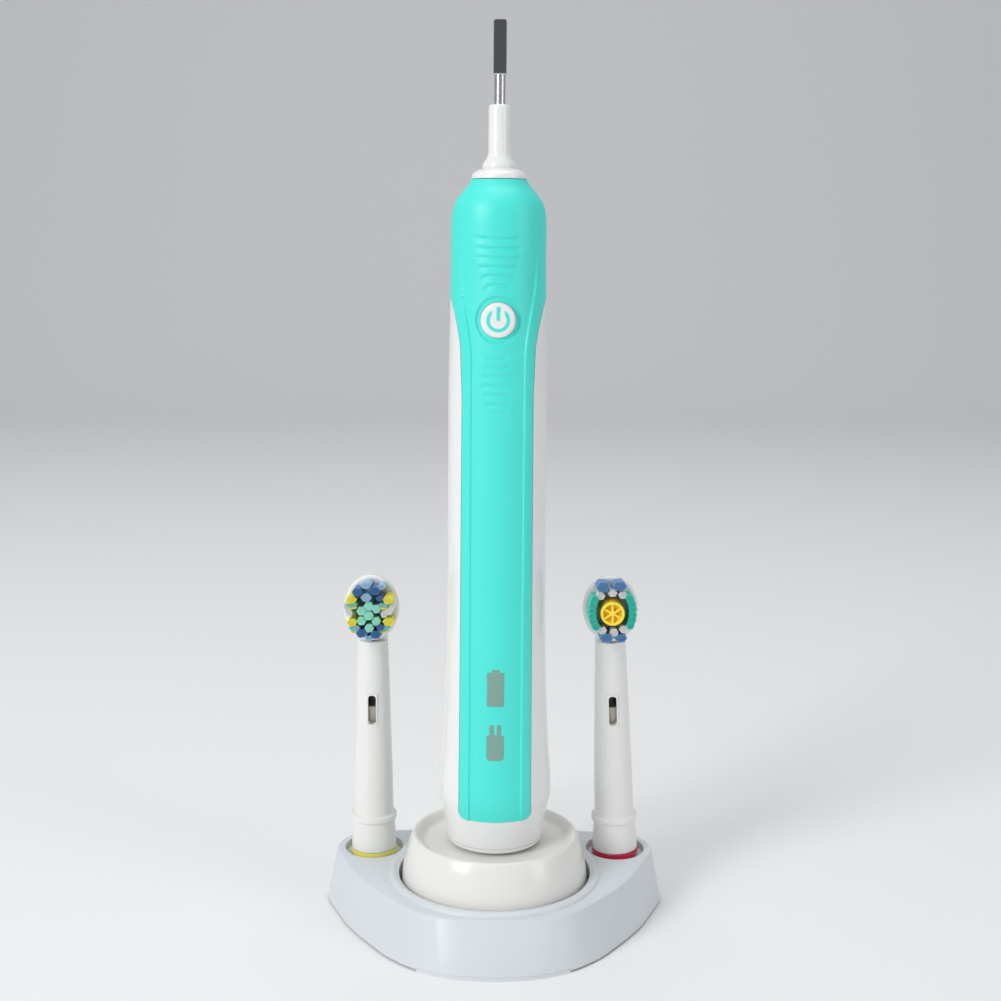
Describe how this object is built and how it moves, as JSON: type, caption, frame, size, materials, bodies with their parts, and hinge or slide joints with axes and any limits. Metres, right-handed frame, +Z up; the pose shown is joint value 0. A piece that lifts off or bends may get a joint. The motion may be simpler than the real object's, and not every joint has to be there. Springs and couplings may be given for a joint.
{
  "type": "electric toothbrush",
  "caption": "Rechargeable electric toothbrush handle standing on an inductive charger, in a stand whose pegs carry spare oscillating brush heads.",
  "frame": {"origin": "centre of the stand's footprint, on the surface that it stands on", "axes": "+Z up along the handle, +Y to the back, +X to the right of a viewer who faces the button"},
  "size_m": [0.0908, 0.063, 0.229],
  "materials": {
    "stand_white": "smooth moulded plastic, cool white",
    "charger_white": "glossy moulded plastic, warm white",
    "handle_white": "glossy moulded plastic",
    "grip_teal": "soft-touch overmoulded elastomer, satin",
    "button_white": "glossy moulded plastic with a coloured power sign",
    "sign_window": "translucent tinted plastic",
    "shaft_steel": "ground and polished stainless steel",
    "black_rubber": "matt moulded rubber",
    "pale_rubber": "pale moulded rubber",
    "head_white": "smooth moulded plastic",
    "ring_yellow": "coloured plastic",
    "ring_red": "coloured plastic",
    "bristle_nylon": "tufts of nylon filament in several colours",
    "polisher_rubber": "soft elastomer cup",
    "rod_grey": "moulded acetal",
    "battery_wrap": "printed shrink wrap on a metal can",
    "contact_nickel": "nickel-plated spring strip",
    "board_green": "solder mask on glass-fibre board",
    "switch_metal": "tinned steel cover",
    "led_clear": "clear resin",
    "copper_wire": "enamelled copper winding",
    "ferrite": "sintered ferrite",
    "frame_dark": "glass-filled nylon",
    "bobbin_ivory": "moulded plastic",
    "motor_steel": "zinc-plated drawn steel",
    "motor_black": "moulded plastic",
    "gear_acetal": "moulded acetal",
    "brass_part": "machined brass",
    "bush_bronze": "sintered bronze, oil-filled"
  },
  "bodies": {
    "stand": {"stand_shell": "stand_white", "stand_foot_front": "pale_rubber", "stand_foot_left": "pale_rubber", "stand_foot_right": "pale_rubber"},
    "charger": {"charger_housing": "charger_white", "charger_base_plate": "charger_white", "charger_core": "ferrite", "charger_coil": "copper_wire", "charger_board": "board_green", "cord_grommet": "black_rubber"},
    "handle": {"handle_casing": "handle_white", "grip_shell": "grip_teal", "top_collar": "handle_white", "neck_sleeve": "handle_white", "shaft_seal": "black_rubber", "upper_bush": "bush_bronze", "lower_bush": "bush_bronze", "base_cap": "handle_white", "base_seal": "black_rubber", "chassis": "frame_dark", "battery_cell": "battery_wrap", "battery_contact_top": "contact_nickel", "battery_contact_bottom": "contact_nickel", "main_board": "board_green", "tact_switch": "switch_metal", "led_battery": "led_clear", "led_charge": "led_clear", "battery_lens": "sign_window", "charge_lens": "sign_window", "coil_bobbin": "bobbin_ivory", "pickup_coil": "copper_wire", "motor_can": "motor_steel", "motor_magnet": "ferrite", "motor_end_cap": "motor_black", "gear_frame": "motor_steel", "crank_axle": "shaft_steel"},
    "power_button": {"power_button": "button_white"},
    "drive_shaft": {"drive_shaft": "shaft_steel", "rocker_arm": "motor_steel"},
    "crank_gear": {"crank_gear": "gear_acetal"},
    "motor_rotor": {"motor_shaft": "shaft_steel", "motor_armature": "copper_wire", "motor_pinion": "brass_part"},
    "head_left": {"head_sleeve_left": "head_white", "id_ring_left": "ring_yellow", "head_pin_left": "shaft_steel"},
    "rod_left": {"drive_rod_left": "rod_grey"},
    "plate_left": {"head_plate_left": "head_white", "bristles_left": "bristle_nylon"},
    "head_right": {"head_sleeve_right": "head_white", "id_ring_right": "ring_red", "head_pin_right": "shaft_steel"},
    "rod_right": {"drive_rod_right": "rod_grey"},
    "plate_right": {"head_plate_right": "head_white", "bristles_right": "bristle_nylon", "polishing_cup_right": "polisher_rubber"}
  },
  "joints": [
    {"name": "charger_lift", "type": "slide", "parent": "stand", "child": "charger", "axis": [0, 0, 1], "range_m": [0, 0.045]},
    {"name": "handle_lift", "type": "slide", "parent": "charger", "child": "handle", "axis": [0, 0, 1], "range_m": [0, 0.03]},
    {"name": "button_press", "type": "slide", "parent": "handle", "child": "power_button", "axis": [0, 1, 0], "range_m": [0, 0.0005], "stiffness_N_per_m": 300},
    {"name": "shaft_swing", "type": "hinge", "parent": "handle", "child": "drive_shaft", "pos_m": [0, 0.00282, 0.19], "axis": [0, 0, 1], "range_deg": [-25, 25]},
    {"name": "crank_spin", "type": "hinge", "parent": "handle", "child": "crank_gear", "pos_m": [0, 0.0075, 0.15], "axis": [0, 0, 1], "continuous": true},
    {"name": "rotor_spin", "type": "hinge", "parent": "handle", "child": "motor_rotor", "pos_m": [0, 0.00282, 0.13], "axis": [0, 0, 1], "continuous": true},
    {"name": "head_left_lift", "type": "slide", "parent": "stand", "child": "head_left", "axis": [0, 0, 1], "range_m": [0, 0.02]},
    {"name": "rod_left_swing", "type": "hinge", "parent": "head_left", "child": "rod_left", "pos_m": [-0.0327, 0.01682, 0.0507], "axis": [0, 0, 1], "range_deg": [-25, 25]},
    {"name": "plate_left_swing", "type": "hinge", "parent": "head_left", "child": "plate_left", "pos_m": [-0.0327, 0.01682, 0.082], "axis": [0, -1, 0], "range_deg": [-20, 20]},
    {"name": "head_right_lift", "type": "slide", "parent": "stand", "child": "head_right", "axis": [0, 0, 1], "range_m": [0, 0.02]},
    {"name": "rod_right_swing", "type": "hinge", "parent": "head_right", "child": "rod_right", "pos_m": [0.03119, 0.01682, 0.05087], "axis": [-0.0401, 0, 0.9992], "range_deg": [-25, 25]},
    {"name": "plate_right_swing", "type": "hinge", "parent": "head_right", "child": "plate_right", "pos_m": [0.02993, 0.01682, 0.08214], "axis": [0, -1, 0], "range_deg": [-20, 20]}
  ],
  "couplings": [
    {"joint": "crank_spin", "follows": "rotor_spin", "ratio": -0.625},
    {"joint": "rod_left_swing", "follows": "plate_left_swing", "ratio": 1.25},
    {"joint": "rod_right_swing", "follows": "plate_right_swing", "ratio": 1.25}
  ]
}
